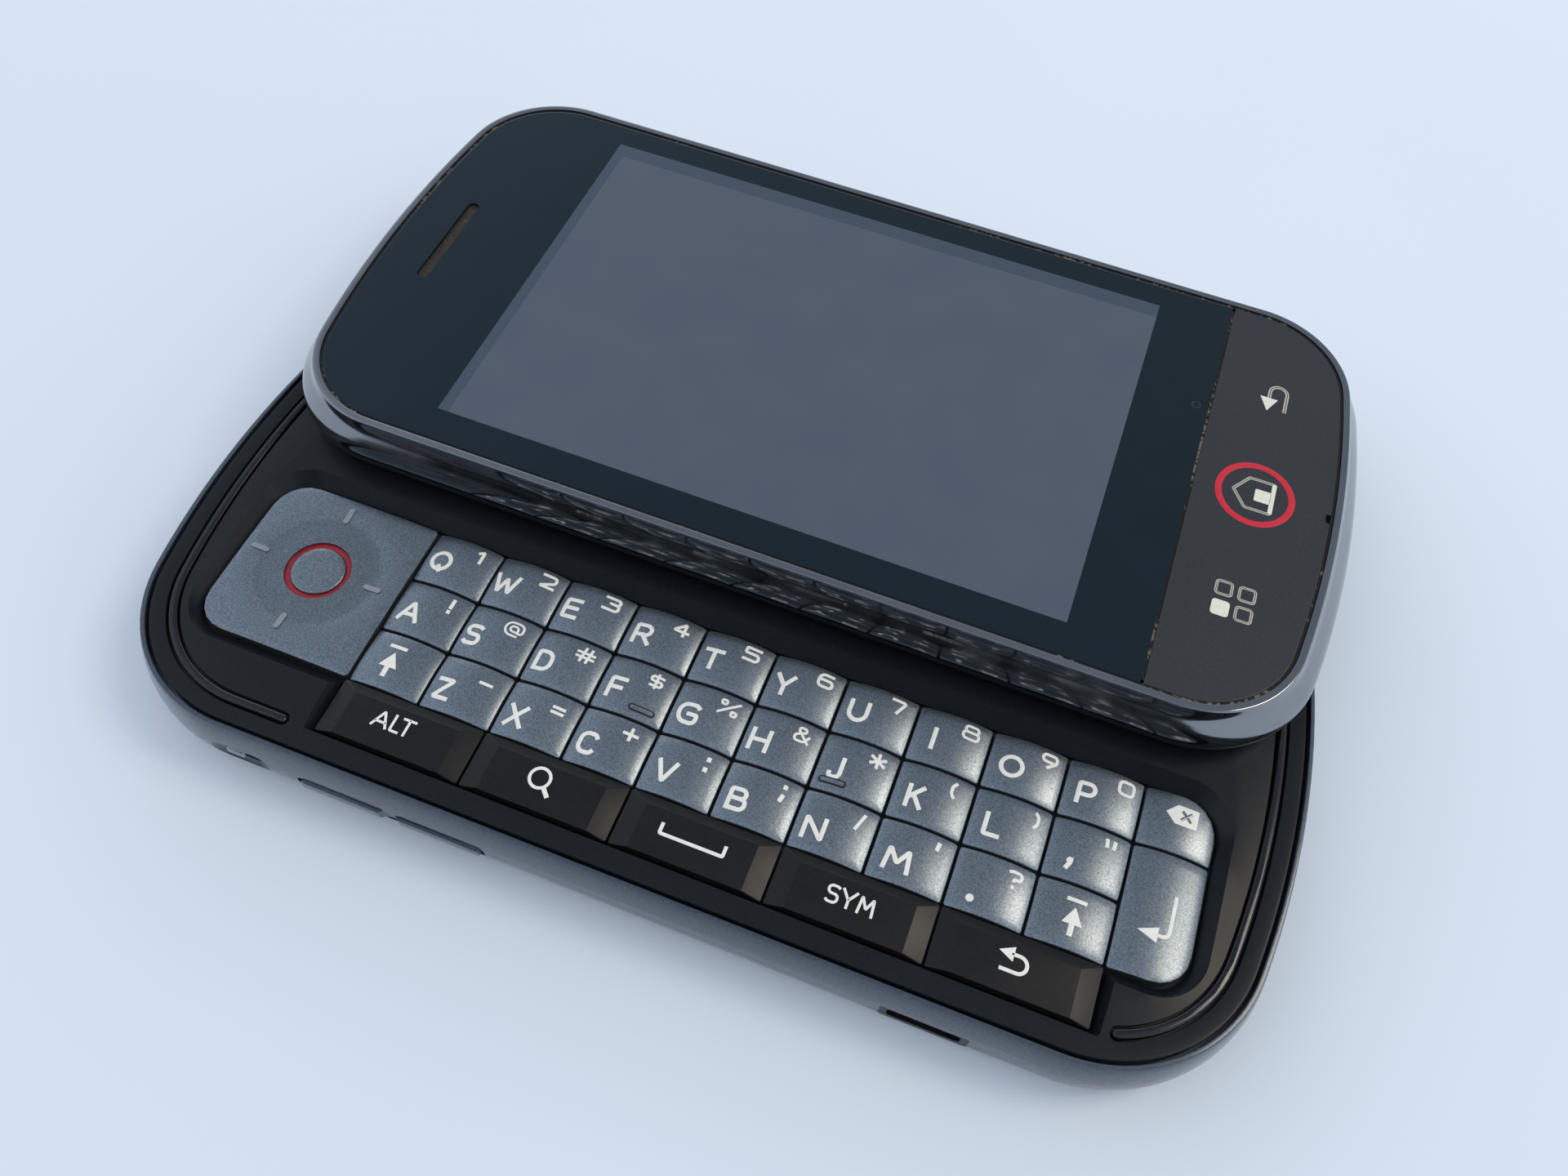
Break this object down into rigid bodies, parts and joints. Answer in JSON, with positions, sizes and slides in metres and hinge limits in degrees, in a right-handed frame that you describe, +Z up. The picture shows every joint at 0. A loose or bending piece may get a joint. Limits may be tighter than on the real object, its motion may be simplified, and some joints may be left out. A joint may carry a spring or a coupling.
{
  "type": "slider phone",
  "caption": "Phone whose touch display slides open sideways over a letter keyboard with a direction pad, in a dark metallic shell with a smoked chrome ring.",
  "frame": {"origin": "centre of the base's flat back, on its outer face", "axes": "+X along the phone towards the return key, +Y the way the display half slides open, +Z up out of the keyboard"},
  "size_m": [0.114, 0.0863, 0.0156],
  "materials": {
    "housing": "satin metallic paint on plastic",
    "cover": "fine matte texture",
    "deck": "satin",
    "letter_key": "satin gunmetal paint with a fine grit",
    "bar_key": "semi-gloss",
    "ring": "dark smoked chrome plating",
    "glass": "clear hardened lens over a black print",
    "strip": "satin",
    "panel": "switched-off liquid crystal display",
    "steel": "stamped",
    "switch": "bright",
    "board": "solder mask",
    "battery": "label film",
    "black_plastic": "moulded"
  },
  "bodies": {
    "base": {"rear_housing": "housing", "battery_cover": "cover", "battery": "battery", "keypad_deck": "deck", "keypad_board": "board", "main_board": "board", "slide_guide": "steel", "usb_port": "steel", "headphone_jack": "black_plastic", "camera_module": "black_plastic"},
    "display": {"slide_carriage": "steel", "display_back": "cover", "display_ring": "ring", "lcd_panel": "panel", "earpiece": "black_plastic", "front_glass": "glass"},
    "key_strip": {"key_strip": "strip"},
    "volume_rocker": {"volume_rocker": "bar_key"},
    "camera_key": {"camera_key": "bar_key"},
    "power_key": {"power_key": "bar_key"},
    "ringer_switch": {"ringer_switch": "switch"},
    "direction_pad": {"direction_pad": "letter_key"},
    "select_button": {"select_button": "letter_key"},
    "key_q": {"key_q": "letter_key"},
    "key_w": {"key_w": "letter_key"},
    "key_e": {"key_e": "letter_key"},
    "key_r": {"key_r": "letter_key"},
    "key_t": {"key_t": "letter_key"},
    "key_y": {"key_y": "letter_key"},
    "key_u": {"key_u": "letter_key"},
    "key_i": {"key_i": "letter_key"},
    "key_o": {"key_o": "letter_key"},
    "key_p": {"key_p": "letter_key"},
    "key_a": {"key_a": "letter_key"},
    "key_s": {"key_s": "letter_key"},
    "key_d": {"key_d": "letter_key"},
    "key_f": {"key_f": "letter_key"},
    "key_g": {"key_g": "letter_key"},
    "key_h": {"key_h": "letter_key"},
    "key_j": {"key_j": "letter_key"},
    "key_k": {"key_k": "letter_key"},
    "key_l": {"key_l": "letter_key"},
    "key_comma": {"key_comma": "letter_key"},
    "key_shift_left": {"key_shift_left": "letter_key"},
    "key_z": {"key_z": "letter_key"},
    "key_x": {"key_x": "letter_key"},
    "key_c": {"key_c": "letter_key"},
    "key_v": {"key_v": "letter_key"},
    "key_b": {"key_b": "letter_key"},
    "key_n": {"key_n": "letter_key"},
    "key_m": {"key_m": "letter_key"},
    "key_period": {"key_period": "letter_key"},
    "key_shift_right": {"key_shift_right": "letter_key"},
    "key_delete": {"key_delete": "letter_key"},
    "key_return": {"key_return": "letter_key"},
    "key_alt": {"key_alt": "bar_key"},
    "key_search": {"key_search": "bar_key"},
    "key_space": {"key_space": "bar_key"},
    "key_symbol": {"key_symbol": "bar_key"},
    "key_back": {"key_back": "bar_key"}
  },
  "joints": [
    {"name": "display_slide", "type": "slide", "parent": "base", "child": "display", "axis": [0, 1, 0], "range_m": [-0.0295, 0]},
    {"name": "volume_rock", "type": "hinge", "parent": "base", "child": "volume_rocker", "pos_m": [-0.02245, -0.0263, 0.00415], "axis": [0, 0, 1], "range_deg": [-1.4, 1.4], "stiffness_Nm_per_rad": 0.03},
    {"name": "camera_key_press", "type": "slide", "parent": "base", "child": "camera_key", "axis": [0, 1, 0], "range_m": [-0.0003, 0], "stiffness_N_per_m": 600},
    {"name": "power_key_press", "type": "slide", "parent": "base", "child": "power_key", "axis": [0, 1, 0], "range_m": [-0.0003, 0], "stiffness_N_per_m": 600},
    {"name": "ringer_slide", "type": "slide", "parent": "base", "child": "ringer_switch", "axis": [1, 0, 0], "range_m": [0, 0.0013]},
    {"name": "key_strip_press", "type": "slide", "parent": "display", "child": "key_strip", "axis": [0, 0, 1], "range_m": [-0.00025, 0], "stiffness_N_per_m": 600},
    {"name": "direction_pad_tilt", "type": "hinge", "parent": "base", "child": "direction_pad", "pos_m": [-0.0405, -0.0101, 0.00705], "axis": [0, 1, 0], "range_deg": [-1.2, 1.2], "stiffness_Nm_per_rad": 0.05},
    {"name": "select_button_press", "type": "slide", "parent": "base", "child": "select_button", "axis": [0, 0, 1], "range_m": [-0.00025, 0], "stiffness_N_per_m": 600},
    {"name": "key_space_press", "type": "slide", "parent": "base", "child": "key_space", "axis": [0, 0, 1], "range_m": [-0.00025, 0], "stiffness_N_per_m": 600},
    {"name": "key_return_press", "type": "slide", "parent": "base", "child": "key_return", "axis": [0, 0, 1], "range_m": [-0.00025, 0], "stiffness_N_per_m": 600},
    {"name": "key_delete_press", "type": "slide", "parent": "base", "child": "key_delete", "axis": [0, 0, 1], "range_m": [-0.00025, 0], "stiffness_N_per_m": 600},
    {"name": "key_alt_press", "type": "slide", "parent": "base", "child": "key_alt", "axis": [0, 0, 1], "range_m": [-0.00025, 0], "stiffness_N_per_m": 600},
    {"name": "key_search_press", "type": "slide", "parent": "base", "child": "key_search", "axis": [0, 0, 1], "range_m": [-0.00025, 0], "stiffness_N_per_m": 600},
    {"name": "key_symbol_press", "type": "slide", "parent": "base", "child": "key_symbol", "axis": [0, 0, 1], "range_m": [-0.00025, 0], "stiffness_N_per_m": 600},
    {"name": "key_back_press", "type": "slide", "parent": "base", "child": "key_back", "axis": [0, 0, 1], "range_m": [-0.00025, 0], "stiffness_N_per_m": 600},
    {"name": "key_q_press", "type": "slide", "parent": "base", "child": "key_q", "axis": [0, 0, 1], "range_m": [-0.00025, 0], "stiffness_N_per_m": 600},
    {"name": "key_w_press", "type": "slide", "parent": "base", "child": "key_w", "axis": [0, 0, 1], "range_m": [-0.00025, 0], "stiffness_N_per_m": 600},
    {"name": "key_e_press", "type": "slide", "parent": "base", "child": "key_e", "axis": [0, 0, 1], "range_m": [-0.00025, 0], "stiffness_N_per_m": 600},
    {"name": "key_r_press", "type": "slide", "parent": "base", "child": "key_r", "axis": [0, 0, 1], "range_m": [-0.00025, 0], "stiffness_N_per_m": 600},
    {"name": "key_t_press", "type": "slide", "parent": "base", "child": "key_t", "axis": [0, 0, 1], "range_m": [-0.00025, 0], "stiffness_N_per_m": 600},
    {"name": "key_y_press", "type": "slide", "parent": "base", "child": "key_y", "axis": [0, 0, 1], "range_m": [-0.00025, 0], "stiffness_N_per_m": 600},
    {"name": "key_u_press", "type": "slide", "parent": "base", "child": "key_u", "axis": [0, 0, 1], "range_m": [-0.00025, 0], "stiffness_N_per_m": 600},
    {"name": "key_i_press", "type": "slide", "parent": "base", "child": "key_i", "axis": [0, 0, 1], "range_m": [-0.00025, 0], "stiffness_N_per_m": 600},
    {"name": "key_o_press", "type": "slide", "parent": "base", "child": "key_o", "axis": [0, 0, 1], "range_m": [-0.00025, 0], "stiffness_N_per_m": 600},
    {"name": "key_p_press", "type": "slide", "parent": "base", "child": "key_p", "axis": [0, 0, 1], "range_m": [-0.00025, 0], "stiffness_N_per_m": 600},
    {"name": "key_a_press", "type": "slide", "parent": "base", "child": "key_a", "axis": [0, 0, 1], "range_m": [-0.00025, 0], "stiffness_N_per_m": 600},
    {"name": "key_s_press", "type": "slide", "parent": "base", "child": "key_s", "axis": [0, 0, 1], "range_m": [-0.00025, 0], "stiffness_N_per_m": 600},
    {"name": "key_d_press", "type": "slide", "parent": "base", "child": "key_d", "axis": [0, 0, 1], "range_m": [-0.00025, 0], "stiffness_N_per_m": 600},
    {"name": "key_f_press", "type": "slide", "parent": "base", "child": "key_f", "axis": [0, 0, 1], "range_m": [-0.00025, 0], "stiffness_N_per_m": 600},
    {"name": "key_g_press", "type": "slide", "parent": "base", "child": "key_g", "axis": [0, 0, 1], "range_m": [-0.00025, 0], "stiffness_N_per_m": 600},
    {"name": "key_h_press", "type": "slide", "parent": "base", "child": "key_h", "axis": [0, 0, 1], "range_m": [-0.00025, 0], "stiffness_N_per_m": 600},
    {"name": "key_j_press", "type": "slide", "parent": "base", "child": "key_j", "axis": [0, 0, 1], "range_m": [-0.00025, 0], "stiffness_N_per_m": 600},
    {"name": "key_k_press", "type": "slide", "parent": "base", "child": "key_k", "axis": [0, 0, 1], "range_m": [-0.00025, 0], "stiffness_N_per_m": 600},
    {"name": "key_l_press", "type": "slide", "parent": "base", "child": "key_l", "axis": [0, 0, 1], "range_m": [-0.00025, 0], "stiffness_N_per_m": 600},
    {"name": "key_comma_press", "type": "slide", "parent": "base", "child": "key_comma", "axis": [0, 0, 1], "range_m": [-0.00025, 0], "stiffness_N_per_m": 600},
    {"name": "key_shift_left_press", "type": "slide", "parent": "base", "child": "key_shift_left", "axis": [0, 0, 1], "range_m": [-0.00025, 0], "stiffness_N_per_m": 600},
    {"name": "key_z_press", "type": "slide", "parent": "base", "child": "key_z", "axis": [0, 0, 1], "range_m": [-0.00025, 0], "stiffness_N_per_m": 600},
    {"name": "key_x_press", "type": "slide", "parent": "base", "child": "key_x", "axis": [0, 0, 1], "range_m": [-0.00025, 0], "stiffness_N_per_m": 600},
    {"name": "key_c_press", "type": "slide", "parent": "base", "child": "key_c", "axis": [0, 0, 1], "range_m": [-0.00025, 0], "stiffness_N_per_m": 600},
    {"name": "key_v_press", "type": "slide", "parent": "base", "child": "key_v", "axis": [0, 0, 1], "range_m": [-0.00025, 0], "stiffness_N_per_m": 600},
    {"name": "key_b_press", "type": "slide", "parent": "base", "child": "key_b", "axis": [0, 0, 1], "range_m": [-0.00025, 0], "stiffness_N_per_m": 600},
    {"name": "key_n_press", "type": "slide", "parent": "base", "child": "key_n", "axis": [0, 0, 1], "range_m": [-0.00025, 0], "stiffness_N_per_m": 600},
    {"name": "key_m_press", "type": "slide", "parent": "base", "child": "key_m", "axis": [0, 0, 1], "range_m": [-0.00025, 0], "stiffness_N_per_m": 600},
    {"name": "key_period_press", "type": "slide", "parent": "base", "child": "key_period", "axis": [0, 0, 1], "range_m": [-0.00025, 0], "stiffness_N_per_m": 600},
    {"name": "key_shift_right_press", "type": "slide", "parent": "base", "child": "key_shift_right", "axis": [0, 0, 1], "range_m": [-0.00025, 0], "stiffness_N_per_m": 600}
  ]
}
